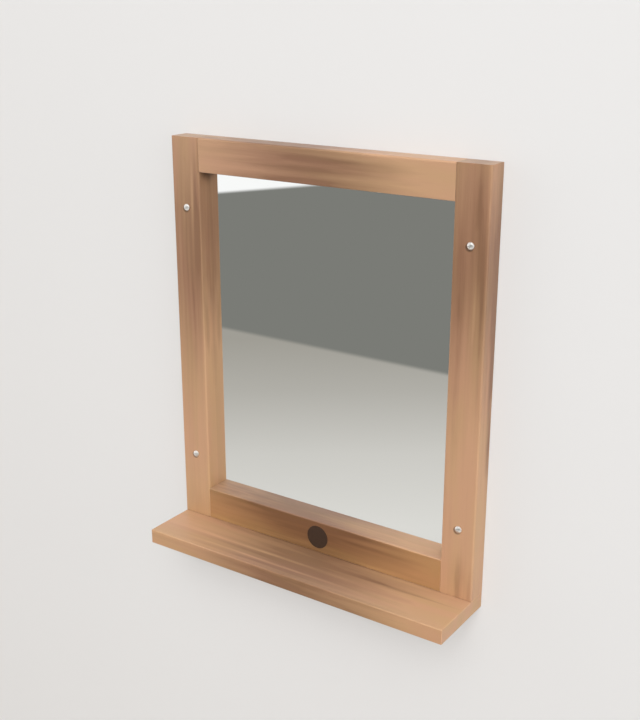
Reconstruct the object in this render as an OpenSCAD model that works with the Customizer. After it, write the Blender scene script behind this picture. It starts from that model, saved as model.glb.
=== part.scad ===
// Wall mirror with a shelf: a doweled solid-wood frame standing on a shelf board.
// Frame: X to the right, Y into the wall, Z up. The wall is the plane y = 0 and the
// front looks towards -Y. The origin is the centre of the four wall screws, on the wall.

/* [Frame] */
// Outer width over both stiles
frame_w = 500; // [360:10:700]
// Height of the stiles, from the shelf to the top of the frame
stile_h = 585; // [440:5:900]
// Face width of each stile
stile_w = 48; // [44:1:60]
// Front-to-back depth of stiles and rails
frame_d = 32; // [28:1:45]
// Height of the top rail
top_rail_h = 48; // [44:1:70]
// Height of the bottom rail
bottom_rail_h = 49; // [46:1:70]
// Radius of the rounded front edges of every board
edge_r = 3; // [0.5:0.5:4]

/* [Shelf] */
// Thickness of the shelf board
shelf_t = 22; // [18:1:30]
// How far the shelf stands out in front of the frame
shelf_reach = 83; // [50:1:140]

/* [Mirror] */
// Thickness of the mirror pane
glass_t = 4; // [3:0.5:6]
// How far the pane reaches behind the frame on each side
glass_lap = 8; // [5:0.5:9]
// Room for the wood to move around the edge of the pane
glass_gap = 1; // [0.5:0.25:2]
// Thickness of the packing sheet behind the pane
sheet_t = 1; // [0.5:0.5:2]
// Thickness of the back panel
panel_t = 3; // [2:0.5:4]
// How far the back panel reaches behind the frame on each side
panel_lap = 18; // [15:0.5:18]
// Room around the edge of the back panel
panel_gap = 0.5; // [0.25:0.25:1]
// How deep the back panel lies below the back of the frame
back_inset = 2.5; // [2.5:0.5:4]
// Length of each setting pad under the pane
pad_l = 30; // [15:1:50]

/* [Dowels] */
// Diameter of the dowels
dowel_d = 8; // [6:1:10]
// Length of the dowels
dowel_l = 36; // [26:1:40]
// Distance between the two dowels of a rail end
dowel_pitch = 22; // [18:1:26]

/* [Wall screws] */
// Thread diameter of the wall screws
wall_screw_d = 5; // [4:0.5:6]
// Diameter of their plain neck, inside the stile
wall_neck_d = 3.6; // [3:0.1:3.8]
// Diameter of their round heads
wall_head_d = 10; // [9:0.5:14]
// Height of their round heads
wall_head_h = 3.2; // [2.5:0.1:4]
// Length of the screws behind the head, neck and thread together
wall_screw_l = 70; // [50:1:90]
// Height of the lower screws above the shelf
screw_rise = 102; // [80:1:150]
// Distance of the upper screws below the top of the frame
screw_drop = 100; // [80:1:150]
// Radial clearance of the wall screw holes
wall_hole_gap = 0.2; // [0.1:0.05:0.5]

/* [Assembly screws] */
// Shank diameter of the screws that hold the shelf
shelf_screw_d = 4.5; // [3.5:0.5:5]
// Diameter of their countersunk heads
shelf_head_d = 8.5; // [7:0.5:10]
// Length of the screws that hold the shelf, head included
shelf_screw_l = 46; // [38:1:48]
// Shank diameter of the back panel screws
panel_screw_d = 3; // [2:0.5:3.5]
// Diameter of their pan heads
panel_head_d = 6; // [5:0.5:7]
// Height of their pan heads
panel_head_h = 1.8; // [1:0.1:2.2]
// Length of the back panel screws under the head
panel_screw_l = 10; // [8:1:12]

/* [Disc] */
// Diameter of the plain disc on the bottom rail
disc_d = 35; // [20:1:38]
// Thickness of the disc
disc_t = 1.6; // [1.2:0.1:3]
// How deep the disc is let into the rail
disc_sink = 1; // [0.4:0.1:1.1]

/* [Hidden] */
$fn = 64;
// Radial clearance of glued dowels, driven screws and the disc
fit_gap = 0.05;
// Overrun of a cut past the face it opens
over = 1;
// Empty room beyond the end of a dowel or a screw in its blind hole
end_room = 1;
// Chamfer on the ends of a dowel and on the rim of the disc
dowel_chamfer = 1;
disc_chamfer = 0.4;
// Width and depth of the cross recess in a wall screw, and its span as a share of the head
recess_w = 1.1;
recess_depth = 1.7;
recess_span = 0.5;
// Radius left at the tip of every pointed screw
tip_r = 0.2;
// Length of the taper between the neck and the thread of a wall screw
neck_taper = 1;
// A pan head is full width up to this share of its height, and flat over this share of its width
pan_rim_share = 0.45;
pan_flat_share = 0.7;
// Places along a rail, as shares of the sight opening counted from its middle
shelf_dowel_share = 0.15;
rail_screw_share = 0.3;
pad_share = 0.3;
panel_side_share = 0.3;
panel_end_share = 0.25;

// Heights above the shelf, moved down so that z = 0 is the middle of the wall screws
foot_z = -(screw_rise + stile_h - screw_drop) / 2;
top_z = foot_z + stile_h;
screw_z = [foot_z + screw_rise, top_z - screw_drop];
screw_x = (frame_w - stile_w) / 2;

// The sight opening inside the four frame members
sight_w = frame_w - 2 * stile_w;
sight_bottom = foot_z + bottom_rail_h;
sight_top = top_z - top_rail_h;
sight_h = sight_top - sight_bottom;
sight_z = (sight_top + sight_bottom) / 2;

// Planes of the rebate, counted from the wall
panel_front = back_inset + panel_t;
sheet_front = panel_front + sheet_t;
glass_front = sheet_front + glass_t;

// Dowels sit in the middle of the wood in front of the rebate
dowel_y = -(frame_d + glass_front) / 2;
dowel_half = dowel_l / 2;
bottom_rail_z = foot_z + bottom_rail_h / 2;
top_rail_z = top_z - top_rail_h / 2;

// Shelf fixings: two dowels and two screws in the bottom rail, one screw in each stile
shelf_d = frame_d + shelf_reach;
shelf_bottom = foot_z - shelf_t;
shelf_dowel_x = shelf_dowel_share * sight_w;
shelf_dowel_sink = shelf_t / 2;
rail_screw_x = rail_screw_share * sight_w;
stile_screw_x = frame_w / 2 - (stile_w - dowel_half) / 2;
shelf_screw_x = [-stile_screw_x, -rail_screw_x, rail_screw_x, stile_screw_x];
shelf_head_h = (shelf_head_d - shelf_screw_d) / 2;

// Back panel screws stand in the ledge between the pane and the edge of the panel
ledge = (glass_lap + panel_lap) / 2;
panel_screw_x = sight_w / 2 + ledge;
panel_screw_z = sight_h / 2 + ledge;
side_z = panel_side_share * sight_h;
end_x = panel_end_share * sight_w;
panel_screw_at = concat(
    [for (x = [-panel_screw_x, panel_screw_x]) for (z = [-side_z, side_z]) [x, sight_z + z]],
    [for (x = [-end_x, end_x]) for (z = [-panel_screw_z, panel_screw_z]) [x, sight_z + z]]);

wood = [0.72, 0.50, 0.34];
wood_dark = [0.60, 0.40, 0.27];
steel = [0.80, 0.80, 0.78];

// ---- shared shapes ----

// Section of a board: width along x, depth along y, front edges rounded, back edges square
module board_section(w, d) {
    translate([0, edge_r]) square([w, d - edge_r]);
    translate([edge_r, 0]) square([w - 2 * edge_r, d]);
    translate([edge_r, edge_r]) circle(r = edge_r);
    translate([w - edge_r, edge_r]) circle(r = edge_r);
}

// Upright board: its lower left front corner at the given place
module upright(at, w, d, h) {
    translate(at) linear_extrude(h) board_section(w, d);
}

// Level board along X, centred on x = 0, with its front face at y and its underside at z
module level_board(y, z, length, d, h) {
    translate([-length / 2, y, z + h]) rotate([0, 90, 0]) linear_extrude(length) board_section(h, d);
}

// A box centred in x and z, between two planes of y
module slab(w, h, y0, y1, z_mid) {
    translate([-w / 2, y0, z_mid - h / 2]) cube([w, y1 - y0, h]);
}

// The two-step rebate that the pane and the back panel lie in
module rebate() {
    slab(sight_w + 2 * glass_lap, sight_h + 2 * glass_lap, -glass_front, over, sight_z);
    slab(sight_w + 2 * panel_lap, sight_h + 2 * panel_lap, -panel_front, over, sight_z);
}

// A dowel along +Z, from z = 0
module dowel(length) {
    r = dowel_d / 2;
    c = dowel_chamfer;
    rotate_extrude() polygon([[0, 0], [r - c, 0], [r, c], [r, length - c], [r - c, length], [0, length]]);
}

// The hole for a dowel, longer at both ends by the room given
module dowel_hole(length) {
    translate([0, 0, -end_room]) cylinder(r = dowel_d / 2 + fit_gap, h = length + 2 * end_room);
}

// Places of the rail dowels: both ends of a rail, lying along X
module at_rail_dowels(rail_z) {
    for (side = [-1, 1]) for (step = [-0.5, 0.5])
        translate([side * sight_w / 2 - dowel_half, dowel_y, rail_z + step * dowel_pitch])
            rotate([0, 90, 0]) children();
}

// Places of the dowels that stand up out of the shelf into the bottom rail
module at_shelf_dowels() {
    for (side = [-1, 1])
        translate([side * shelf_dowel_x, dowel_y, foot_z - shelf_dowel_sink]) children();
}

// Places of the shelf screws, with z = 0 on the underside of the shelf
module at_shelf_screws() {
    for (x = shelf_screw_x) translate([x, dowel_y, shelf_bottom]) children();
}

// Places of the wall screws, with +Z into the wall and z = 0 on the front of the stiles
module at_wall_screws() {
    for (x = [-screw_x, screw_x]) for (z = screw_z)
        translate([x, -frame_d, z]) rotate([-90, 0, 0]) children();
}

// Places of the back panel screws, with +Z into the wood and z = 0 on the back of the panel
module at_panel_screws() {
    for (p = panel_screw_at) translate([p[0], -back_inset, p[1]]) rotate([90, 0, 0]) children();
}

// A straight hole from z = 0 into the wood, open at its mouth
module screw_hole(d, gap, length) {
    translate([0, 0, -over]) cylinder(r = d / 2 + gap, h = length + over);
}

// Countersunk screw pointing to +Z, its flat head at z = 0
module countersunk_screw(d, head_d, head_h, length) {
    r = d / 2;
    rotate_extrude()
        polygon([[0, 0], [head_d / 2, 0], [r, head_h], [r, length - d], [tip_r, length], [0, length]]);
}

// The hole of a countersunk screw, with the cone a fit gap wider than the head
module countersunk_hole(d, head_d, head_h, length) {
    r = d / 2 + fit_gap;
    mouth = head_d / 2 + fit_gap;
    rotate_extrude()
        polygon([[0, -over], [mouth, -over], [mouth, 0], [r, head_h], [r, length], [0, length]]);
}

// Pan-head screw pointing to +Z, the underside of its head at z = 0
module pan_screw(d, head_d, head_h, length) {
    r = d / 2;
    rim = head_d / 2;
    rotate_extrude()
        polygon([[0, -head_h], [pan_flat_share * rim, -head_h], [rim, -pan_rim_share * head_h],
                 [rim, 0], [r, 0], [r, length - d], [tip_r, length], [0, length]]);
}

// Round-head wall screw pointing to +Z, the underside of its head at z = 0. Its plain neck
// fills the stile and its thread begins at the wall.
module wall_screw() {
    r = wall_screw_d / 2;
    neck_r = wall_neck_d / 2;
    dome_r = (pow(wall_head_d / 2, 2) + pow(wall_head_h, 2)) / (2 * wall_head_h);
    difference() {
        intersection() {
            translate([0, 0, dome_r - wall_head_h]) sphere(r = dome_r);
            translate([-wall_head_d, -wall_head_d, -2 * wall_head_h])
                cube([2 * wall_head_d, 2 * wall_head_d, 2 * wall_head_h]);
        }
        for (turn = [0, 90]) rotate([0, 0, turn])
            translate([-recess_span * wall_head_d / 2, -recess_w / 2, -wall_head_h - over])
                cube([recess_span * wall_head_d, recess_w, recess_depth + over]);
    }
    rotate_extrude()
        polygon([[0, 0], [neck_r, 0], [neck_r, frame_d - neck_taper], [r, frame_d],
                 [r, wall_screw_l - wall_screw_d], [tip_r, wall_screw_l], [0, wall_screw_l]]);
}

// All holes and cuts that the frame members share
module frame_cuts() {
    rebate();
    at_rail_dowels(top_rail_z) dowel_hole(dowel_l);
    at_rail_dowels(bottom_rail_z) dowel_hole(dowel_l);
    at_shelf_dowels() dowel_hole(dowel_l);
    at_shelf_screws() screw_hole(shelf_screw_d, fit_gap, shelf_screw_l + end_room);
    at_wall_screws() screw_hole(wall_screw_d, wall_hole_gap, frame_d + over);
    at_panel_screws() screw_hole(panel_screw_d, fit_gap, panel_screw_l + end_room);
}

// ---- sub-parts ----

module left_stile() {
    color(wood) difference() {
        upright([-frame_w / 2, -frame_d, foot_z], stile_w, frame_d, stile_h);
        frame_cuts();
    }
}

module right_stile() {
    color(wood) difference() {
        upright([frame_w / 2 - stile_w, -frame_d, foot_z], stile_w, frame_d, stile_h);
        frame_cuts();
    }
}

module top_rail() {
    color(wood) difference() {
        level_board(-frame_d, top_z - top_rail_h, sight_w, frame_d, top_rail_h);
        frame_cuts();
    }
}

module bottom_rail() {
    color(wood_dark) difference() {
        level_board(-frame_d, foot_z, sight_w, frame_d, bottom_rail_h);
        frame_cuts();
        translate([0, -frame_d + disc_sink, bottom_rail_z]) rotate([90, 0, 0])
            cylinder(r = disc_d / 2 + fit_gap, h = disc_sink + over);
    }
}

module shelf_board() {
    color(wood) difference() {
        level_board(-shelf_d, shelf_bottom, frame_w, shelf_d, shelf_t);
        at_shelf_dowels() dowel_hole(dowel_l);
        at_shelf_screws()
            countersunk_hole(shelf_screw_d, shelf_head_d, shelf_head_h, shelf_screw_l + end_room);
    }
}

// The pane rests on the setting pads and lies against the front step of the rebate
module mirror_pane() {
    color([0.82, 0.84, 0.84])
        slab(sight_w + 2 * glass_lap - 2 * glass_gap, sight_h + 2 * glass_lap - 2 * glass_gap,
             -glass_front, -sheet_front, sight_z);
}

module setting_pads() {
    pad_z = sight_bottom - glass_lap + glass_gap / 2;
    color([0.20, 0.20, 0.20]) for (side = [-1, 1]) translate([side * pad_share * sight_w, 0, 0])
        slab(pad_l, glass_gap, -glass_front, -sheet_front, pad_z);
}

module packing_sheet() {
    color([0.75, 0.75, 0.72])
        slab(sight_w + 2 * glass_lap - 2 * glass_gap, sight_h + 2 * glass_lap - 2 * glass_gap,
             -sheet_front, -panel_front, sight_z);
}

module back_panel() {
    color([0.52, 0.40, 0.28]) difference() {
        slab(sight_w + 2 * panel_lap - 2 * panel_gap, sight_h + 2 * panel_lap - 2 * panel_gap,
             -panel_front, -back_inset, sight_z);
        at_panel_screws() screw_hole(panel_screw_d, fit_gap, panel_t + over);
    }
}

module back_panel_screws() {
    color(steel) at_panel_screws() pan_screw(panel_screw_d, panel_head_d, panel_head_h, panel_screw_l);
}

module top_rail_dowels() {
    color(wood) at_rail_dowels(top_rail_z) dowel(dowel_l);
}

module bottom_rail_dowels() {
    color(wood) at_rail_dowels(bottom_rail_z) dowel(dowel_l);
}

module shelf_dowels() {
    color(wood) at_shelf_dowels() dowel(dowel_l);
}

module shelf_screws() {
    color(steel) at_shelf_screws()
        countersunk_screw(shelf_screw_d, shelf_head_d, shelf_head_h, shelf_screw_l);
}

module wall_screws() {
    color(steel) at_wall_screws() wall_screw();
}

// Plain disc let into the front of the bottom rail, with a chamfered rim
module rail_disc() {
    r = disc_d / 2;
    c = disc_chamfer;
    color([0.22, 0.17, 0.14]) translate([0, -frame_d + disc_sink, bottom_rail_z]) rotate([90, 0, 0])
        rotate_extrude() polygon([[0, 0], [r, 0], [r, disc_t - c], [r - c, disc_t], [0, disc_t]]);
}

left_stile();
right_stile();
top_rail();
bottom_rail();
shelf_board();
mirror_pane();
setting_pads();
packing_sheet();
back_panel();
back_panel_screws();
top_rail_dowels();
bottom_rail_dowels();
shelf_dowels();
shelf_screws();
wall_screws();
rail_disc();
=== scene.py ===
import math
from functools import partialmethod

import bmesh
import bpy
from mathutils import Matrix, Vector


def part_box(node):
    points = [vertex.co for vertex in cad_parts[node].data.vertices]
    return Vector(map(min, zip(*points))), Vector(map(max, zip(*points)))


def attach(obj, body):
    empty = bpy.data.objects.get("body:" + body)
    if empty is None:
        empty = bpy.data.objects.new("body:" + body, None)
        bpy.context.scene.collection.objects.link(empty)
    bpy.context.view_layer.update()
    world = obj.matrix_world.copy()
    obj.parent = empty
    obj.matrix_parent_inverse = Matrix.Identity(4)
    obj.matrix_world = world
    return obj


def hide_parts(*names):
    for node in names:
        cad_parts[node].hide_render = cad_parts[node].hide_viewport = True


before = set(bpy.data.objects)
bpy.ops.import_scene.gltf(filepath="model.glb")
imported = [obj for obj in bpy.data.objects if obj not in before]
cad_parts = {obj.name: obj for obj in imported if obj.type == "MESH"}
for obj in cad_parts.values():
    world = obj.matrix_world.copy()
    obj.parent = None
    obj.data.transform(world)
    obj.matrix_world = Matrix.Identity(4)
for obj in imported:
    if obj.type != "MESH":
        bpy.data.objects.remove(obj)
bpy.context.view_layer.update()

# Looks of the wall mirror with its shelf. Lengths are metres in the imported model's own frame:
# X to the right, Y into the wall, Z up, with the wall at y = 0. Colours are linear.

MM = 0.001

# ---- sizes, read from the frame's own nodes where they can be ----

STILE_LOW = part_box("left_stile")[0]
SHELF_LOW, SHELF_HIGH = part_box("shelf_board")
TOP_LOW, TOP_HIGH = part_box("top_rail")
BOTTOM_LOW, BOTTOM_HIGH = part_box("bottom_rail")
PANE_LOW, PANE_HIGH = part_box("mirror_pane")
PANEL_LOW, PANEL_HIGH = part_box("back_panel")
DISC_LOW, DISC_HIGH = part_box("rail_disc")

FRONT = STILE_LOW.y
FOOT = STILE_LOW.z                  # where the frame stands on the shelf
WOOD_Y = (FRONT + PANE_LOW.y) / 2   # middle of the wood in front of the rebate
SIGHT_HALF = TOP_HIGH.x             # half the width of the sight opening
SIGHT_HEIGHT = TOP_LOW.z - BOTTOM_HIGH.z
SIGHT_MID = (TOP_LOW.z + BOTTOM_HIGH.z) / 2
RAIL_MIDS = ((TOP_LOW.z + TOP_HIGH.z) / 2, (BOTTOM_LOW.z + BOTTOM_HIGH.z) / 2)
DISC_RADIUS = (DISC_HIGH.x - DISC_LOW.x) / 2
DISC_MID = (DISC_LOW.z + DISC_HIGH.z) / 2

FULL_EDGE = 3 * MM       # rounding of a long front edge that was sanded well
MILD_EDGE = 1.8 * MM     # rounding of a plainer one
CRISP_EDGE = 1 * MM      # rounding of one that stayed crisp
EASE = 0.5 * MM          # rounding of other edges
SHELF_EASE = 1 * MM      # rounding of the shelf's ends

DOWEL_RADIUS = 4 * MM
DOWEL_REACH = 18 * MM    # half a dowel's length
DOWEL_STEP = 22 * MM     # between the two dowels in a rail's end
SHELF_DOWEL_X = 60.6 * MM
SHELF_DOWEL_SUNK = 11 * MM
END_ROOM = 1 * MM        # free room past a dowel's end
GLUE_LINE = 0.05 * MM
PANE_GAP = 1 * MM
PANEL_GAP = 0.5 * MM
PAD_LENGTH = 30 * MM
OVERRUN = 2 * MM         # how far a cutter reaches past the wood

WALL_SCREW_X, WALL_SCREW_Z = 226 * MM, 191.5 * MM
WALL_SCREW_HOLE = 2.7 * MM           # each hole is given by its radius
SHELF_SCREW_X = (121.2 * MM, 235 * MM)
SHELF_SCREW_HOLE = 2.3 * MM
SHELF_SCREW_PILOT = 25 * MM          # depth of its pilot hole in the frame
SINK_RADIUS = 5.3 * MM               # of the countersink's cone, 1 mm below the shelf
PANEL_SCREW_HOLE = 1.55 * MM
PANEL_SCREW_PILOT = 11 * MM
PANEL_SCREW_OUT = 13 * MM            # from the sight opening to the row of panel screws
PANEL_SCREW_SIDE = (SIGHT_HALF + PANEL_SCREW_OUT, 0.3 * SIGHT_HEIGHT)
PANEL_SCREW_END = (0.5 * SIGHT_HALF, SIGHT_HEIGHT / 2 + PANEL_SCREW_OUT)


# ---- node trees ----

VECTOR, FLOAT, COLOUR = "NodeSocketVector", "NodeSocketFloat", "NodeSocketColor"
GEOMETRY, MATERIAL = "NodeSocketGeometry", "NodeSocketMaterial"


class Wiring:
    """Adds nodes to one tree. A value is a plain one, a socket, or a node for its first output."""

    def __init__(self, tree):
        self.tree = tree

    def feed(self, socket, value):
        if isinstance(value, bpy.types.Node):
            value = value.outputs[0]
        if isinstance(value, bpy.types.NodeSocket):
            self.tree.links.new(value, socket)
        elif socket.type == "RGBA":
            socket.default_value = (*value, 1)
        else:
            socket.default_value = value

    def feed_all(self, sockets, values):
        for name, value in values.items():
            self.feed(sockets[name], value)

    def add(self, kind, inputs=None, **settings):
        node = self.tree.nodes.new(kind)
        for name, value in settings.items():
            setattr(node, name, value)
        self.feed_all(node.inputs, inputs or {})
        return node

    def group(self, tree, inputs):
        return self.add("ShaderNodeGroup", inputs, node_tree=tree)

    def math(self, operation, *values, clamp=False):
        node = self.add("ShaderNodeMath", dict(enumerate(values)), operation=operation, use_clamp=clamp)
        return node.outputs[0]

    plus = partialmethod(math, "ADD")
    minus = partialmethod(math, "SUBTRACT")
    times = partialmethod(math, "MULTIPLY")
    over = partialmethod(math, "DIVIDE")
    line = partialmethod(math, "MULTIPLY_ADD")      # takes a value, the slope and the start

    def vector(self, operation, *values):
        node = self.add("ShaderNodeVectorMath", dict(enumerate(values)), operation=operation)
        return node.outputs["Value" if operation in ("LENGTH", "DOT_PRODUCT") else "Vector"]

    def split(self, vector):
        return self.add("ShaderNodeSeparateXYZ", {"Vector": vector}).outputs

    def join(self, **parts):
        return self.add("ShaderNodeCombineXYZ", parts).outputs[0]

    def noise(self, vector, scale=1.0, detail=2.0, rough=0.5, stretch=None):
        if stretch:
            vector = self.vector("MULTIPLY", vector, stretch)
        inputs = {"Vector": vector, "Scale": scale, "Detail": detail, "Roughness": rough}
        return self.add("ShaderNodeTexNoise", inputs).outputs[0]

    def ramp(self, value, low, high, to_low=0.0, to_high=1.0):
        """A soft step. It falls where low is the greater one."""
        ends = {"Value": value, "From Min": low, "From Max": high, "To Min": to_low, "To Max": to_high}
        return self.add("ShaderNodeMapRange", ends, interpolation_type="SMOOTHSTEP").outputs[0]

    def blend(self, share, first, second, mode="MIX"):
        node = self.add("ShaderNodeMix", {0: share, 6: first, 7: second}, data_type="RGBA", blend_type=mode)
        return node.outputs[2]


def socket_kind(first):
    """The kind of socket for a first value. An input without one is given by its kind."""
    if isinstance(first, str):
        return first
    if isinstance(first, tuple):
        return VECTOR
    return "NodeSocketInt" if isinstance(first, int) else FLOAT


def group_with(name, ins, outs, kind="ShaderNodeTree"):
    """An empty node group with named sockets, and its wiring, input and output sockets."""
    tree = bpy.data.node_groups.new(name, kind)
    for label, first in ins.items():
        made = tree.interface.new_socket(name=label, in_out="INPUT", socket_type=socket_kind(first))
        if not isinstance(first, str):
            made.default_value = first
    for label, socket in outs.items():
        tree.interface.new_socket(name=label, in_out="OUTPUT", socket_type=socket)
    w = Wiring(tree)
    return tree, w, w.add("NodeGroupInput").outputs, w.add("NodeGroupOutput").inputs


def slow_bend():
    """The tree's own slow bends, which carry rings and streaks with them."""
    tree, w, get, put = group_with("slow_bend", {"Vector": VECTOR, "Board": 0.0}, {"Vector": VECTOR})
    bends_per_metre, bend = (9, 9, 2.6), (22 * MM, 22 * MM, 0)
    seeded = w.vector("MULTIPLY", w.vector("ADD", get["Vector"], get["Board"]), bends_per_metre)
    wave = w.add("ShaderNodeTexNoise", {"Vector": seeded, "Scale": 1.0, "Detail": 1.0})
    sway = w.vector("SUBTRACT", wave.outputs["Color"], (0.5, 0.5, 0.5))
    w.feed(put["Vector"], w.vector("MULTIPLY_ADD", sway, bend, get["Vector"]))
    return tree


def single_streak():
    """One long soft streak, added to those before it: a layer through Middle that faces along Lie."""
    tree, w, get, put = group_with("single_streak", {
        "Before": 0.0, "Vector": VECTOR, "Middle": (0, 0, 0), "Lie": (1, 0, 0), "Thickness": 0.004,
        "Reach": 0.1, "Depth": 0.2}, {"Streaks": FLOAT})
    off = w.vector("SUBTRACT", get["Vector"], get["Middle"])
    across = w.over(w.vector("DOT_PRODUCT", off, get["Lie"]), get["Thickness"])
    along = w.math("ABSOLUTE", w.over(w.split(off)["Z"], get["Reach"]))
    fade = w.line(across, across, w.math("POWER", along, 3.0))
    w.feed(put["Streaks"], w.line(w.math("EXPONENT", w.times(fade, -1.0)), get["Depth"], get["Before"]))
    return tree


def straight_grain():
    """Straight-grained board along local Z: growth rings round a pith, blurred streaks, fibres and pores."""
    tree, w, get, put = group_with("straight_grain", {
        "Vector": VECTOR, "Bent": VECTOR, "Board": 0.0, "Pith": (0.1, 0.02, 0.0), "Dark Place": 0.0,
        "Dark Reach": 0.15, "Dark Share": 1.0, "Streaks": 0.0, "Dust": 0.1, "Light Wood": COLOUR,
        "Dark Wood": COLOUR, "Front Shade": COLOUR, "End Grain": 0.0, "Grime": 0.0},
        {"Color": COLOUR, "Roughness": FLOAT, "Height": FLOAT})
    straight = w.vector("ADD", get["Vector"], get["Board"])
    bent = w.vector("ADD", get["Bent"], get["Board"])

    off_pith = w.vector("MULTIPLY", w.vector("SUBTRACT", get["Bent"], get["Pith"]), (1, 1, 0))
    turn = w.times(w.over(w.vector("LENGTH", off_pith), RING_GAP), math.tau)
    rings = w.math("POWER", w.line(w.math("SINE", turn), 0.5, 0.5), 1.6)

    # every pattern repeats far more often to a metre across the grain than along it
    streaks = w.ramp(w.noise(bent, detail=2.5, stretch=(70, 70, 2.4)), 0.34, 0.7)
    broad = w.ramp(w.noise(bent, detail=1.0, stretch=(26, 26, 3.4)), 0.3, 0.7)
    hue = w.ramp(w.noise(bent, detail=1.5, stretch=(42, 42, 6.5)), 0.3, 0.7)
    uneven = w.ramp(w.noise(bent, stretch=(95, 95, 13)), 0.32, 0.68, 0.5, 1.5)
    fibres = w.noise(straight, detail=3.0, rough=0.6, stretch=(820, 820, 11))
    pores = w.ramp(w.noise(straight, detail=1.0, stretch=(1500, 1500, 42)), 0.62, 0.74)

    # each board is darkest and liveliest round one place along its length
    away = w.over(w.minus(w.split(get["Vector"])["Z"], get["Dark Place"]), get["Dark Reach"])
    dark_zone = w.times(w.math("EXPONENT", w.times(w.times(away, away), -1.0)), get["Dark Share"])
    lively = w.line(dark_zone, 0.6, 0.4)
    figure = w.line(streaks, 0.26, w.line(rings, 0.09, w.times(broad, 0.2)))
    dark = w.line(get["Streaks"], uneven, w.line(w.minus(figure, 0.27), lively, dark_zone))
    dark = w.plus(dark, w.line(w.minus(fibres, 0.5), 0.2, w.times(pores, 0.12)))
    colour = w.blend(dark, get["Light Wood"], get["Dark Wood"])
    colour = w.blend(1.0, colour, w.blend(hue, (1.03, 0.985, 1.04), (0.975, 1.005, 0.955)), mode="MULTIPLY")

    # painted shade: the front faces can be darker and deeper in hue than the rest of the board, as shade
    # falls on them
    normal = w.add("ShaderNodeNewGeometry").outputs["True Normal"]
    way = w.split(normal)
    front_in_shade = w.blend(1.0, colour, get["Front Shade"], mode="MULTIPLY")
    colour = w.blend(w.ramp(way["Y"], -0.7, -0.98), colour, front_in_shade)
    colour = w.blend(w.times(get["End Grain"], 0.16), colour, get["Dark Wood"])
    # rounded edges are rubbed a little paler than the faces
    facing = w.split(w.vector("ABSOLUTE", normal))
    flat = w.math("MAXIMUM", facing["X"], w.math("MAXIMUM", facing["Y"], facing["Z"]))
    worn = w.ramp(flat, 0.985, 0.8)
    colour = w.blend(w.times(worn, 0.05), colour, RUBBED_WOOD)
    # a film of fine dust on what faces up
    # dust and painted sheen: what faces up is paled by a film of fine dust and by a painted sheen
    colour = w.blend(w.times(w.ramp(way["Z"], 0.8, 0.98), get["Dust"]), colour, DUST_AND_SHEEN)
    # painted shade in the inner corners and under the wall screws, and a dark line along the shelf's seam
    colour = w.blend(w.times(get["Grime"], 0.8), colour, SHADE_AND_SEAM_BROWN)
    w.feed_all(put, {"Color": colour, "Roughness": w.line(fibres, 0.16, w.line(worn, -0.06, 0.42)),
                     "Height": w.line(fibres, 0.5, w.line(pores, -0.6, w.times(rings, 0.25)))})
    return tree


def seam_grime():
    """Painted shade in the inner corners behind the front, most at the top, a dark line along the shelf's
    seam, and a small painted shadow to the lower left of each wall screw."""
    tree, w, get, put = group_with("seam_grime", {"Vector": VECTOR}, {"Grime": FLOAT})
    place = w.split(get["Vector"])
    behind = w.minus(place["Y"], FRONT)
    raised = w.minus(place["Z"], SIGHT_MID)

    # painted shade in the inner corners, where the frame shades itself
    corner_reach, corner_depth = 8.5 * MM, 14 * MM
    off_corner = w.join(X=w.minus(w.math("ABSOLUTE", place["X"]), SIGHT_HALF),
                        Y=w.minus(w.math("ABSOLUTE", raised), SIGHT_HEIGHT / 2))
    squared = w.vector("DOT_PRODUCT", off_corner, off_corner)
    corner_shade = w.math("EXPONENT", w.times(squared, -1 / corner_reach ** 2))
    more_above = w.ramp(raised, -0.1, 0.1, 0.12, 0.95)
    corner_shade = w.times(corner_shade, w.times(w.ramp(behind, 0, corner_depth), more_above))

    seam_reach = 0.8 * MM
    to_seam = w.vector("LENGTH", w.join(X=behind, Y=w.minus(place["Z"], FOOT)))
    patchy = w.ramp(w.noise(get["Vector"], 60.0), 0.38, 0.62, 0.12, 0.42)
    in_seam = w.times(w.math("EXPONENT", w.times(to_seam, -1 / seam_reach)), patchy)

    # painted shadow of each wall screw's head, falling to its lower left
    shadow_drift, shadow_radius, shadow_edge = (-1.8 * MM, 0, -2.0 * MM), 4.8 * MM, 6.4 * MM
    drift = w.split(w.vector("SUBTRACT", get["Vector"], shadow_drift))
    to_screw = w.vector("LENGTH", w.join(X=w.minus(w.math("ABSOLUTE", drift["X"]), WALL_SCREW_X),
                                         Y=w.minus(w.math("ABSOLUTE", drift["Z"]), WALL_SCREW_Z)))
    on_front = w.ramp(behind, 0.4 * MM, 0.2 * MM, 0.0, 0.8)
    screw_shadow = w.times(w.ramp(to_screw, shadow_edge, shadow_radius), on_front)
    w.feed(put["Grime"], w.math("MAXIMUM", corner_shade, w.math("MAXIMUM", in_seam, screw_shadow)))
    return tree


def fine_wear():
    """Handling marks for small parts: a soft mottle and fine drawn-out scratches."""
    tree, w, get, put = group_with("fine_wear", {
        "Vector": VECTOR, "Mottle Scale": 300.0, "Scratch Scale": 900.0},
        {"Mottle": FLOAT, "Scratches": FLOAT})
    scratched = w.noise(get["Vector"], get["Scratch Scale"], detail=3.0, rough=0.7, stretch=(1, 0.15, 0.4))
    w.feed_all(put, {"Mottle": w.noise(get["Vector"], get["Mottle Scale"], detail=4.0, rough=0.6),
                     "Scratches": w.ramp(scratched, 0.45, 0.75)})
    return tree


RING_GAP = 6.5 * MM
RUBBED_WOOD = (0.83, 0.63, 0.45)
DUST_AND_SHEEN = (0.66, 0.57, 0.49)
SHADE_AND_SEAM_BROWN = (0.07, 0.032, 0.014)
BEND = slow_bend()
STREAK = single_streak()
GRAIN = straight_grain()
SHADE_AND_SEAMS = seam_grime()
WEAR = fine_wear()


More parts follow.
